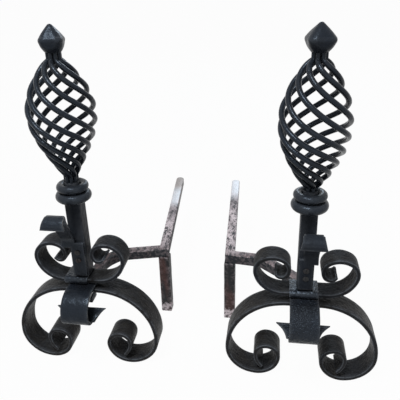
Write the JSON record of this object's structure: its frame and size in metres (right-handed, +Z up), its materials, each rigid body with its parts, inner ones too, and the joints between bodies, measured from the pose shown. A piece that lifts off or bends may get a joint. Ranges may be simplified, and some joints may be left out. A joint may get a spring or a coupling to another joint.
{
  "type": "pair of andirons",
  "caption": "Forged fireside andirons with scrolled feet, square posts, ringed necks, twisted basket heads, curled front hooks and cranked log bars.",
  "frame": {"origin": "on the floor, at the middle of the pair's overall width and depth", "axes": "+X to the right of someone who faces the front, +Y to the back along the log bars, +Z up"},
  "size_m": [0.538, 0.5102, 0.5004],
  "materials": {
    "black_iron": "satin black stove paint on lightly hammered iron",
    "bare_iron": "bare, heat-scaled and rusted",
    "screw_steel": "dull, blackened"
  },
  "bodies": {
    "left_andiron": {"left_arch": "black_iron", "left_front_curl": "black_iron", "left_collar": "black_iron", "left_upper_scroll": "black_iron", "left_post": "black_iron", "left_base_nut": "black_iron", "left_ring_lower": "black_iron", "left_ring_upper": "black_iron", "left_finial": "black_iron", "left_hook": "black_iron", "left_hook_screws": "screw_steel", "left_log_bar": "bare_iron", "left_leg": "bare_iron", "left_basket_rod_1": "black_iron", "left_basket_rod_2": "black_iron", "left_basket_rod_3": "black_iron", "left_basket_rod_4": "black_iron", "left_basket_rod_5": "black_iron", "left_basket_rod_6": "black_iron", "left_basket_rod_7": "black_iron", "left_basket_rod_8": "black_iron"},
    "right_andiron": {"right_arch": "black_iron", "right_front_curl": "black_iron", "right_collar": "black_iron", "right_upper_scroll": "black_iron", "right_post": "black_iron", "right_base_nut": "black_iron", "right_ring_lower": "black_iron", "right_ring_upper": "black_iron", "right_finial": "black_iron", "right_hook": "black_iron", "right_hook_screws": "screw_steel", "right_log_bar": "bare_iron", "right_leg": "bare_iron", "right_basket_rod_1": "black_iron", "right_basket_rod_2": "black_iron", "right_basket_rod_3": "black_iron", "right_basket_rod_4": "black_iron", "right_basket_rod_5": "black_iron", "right_basket_rod_6": "black_iron", "right_basket_rod_7": "black_iron", "right_basket_rod_8": "black_iron"}
  },
  "joints": [
    {"name": "pair_spacing", "type": "slide", "parent": "left_andiron", "child": "right_andiron", "axis": [1, 0, 0], "range_m": [-0.07, 0.2]}
  ]
}
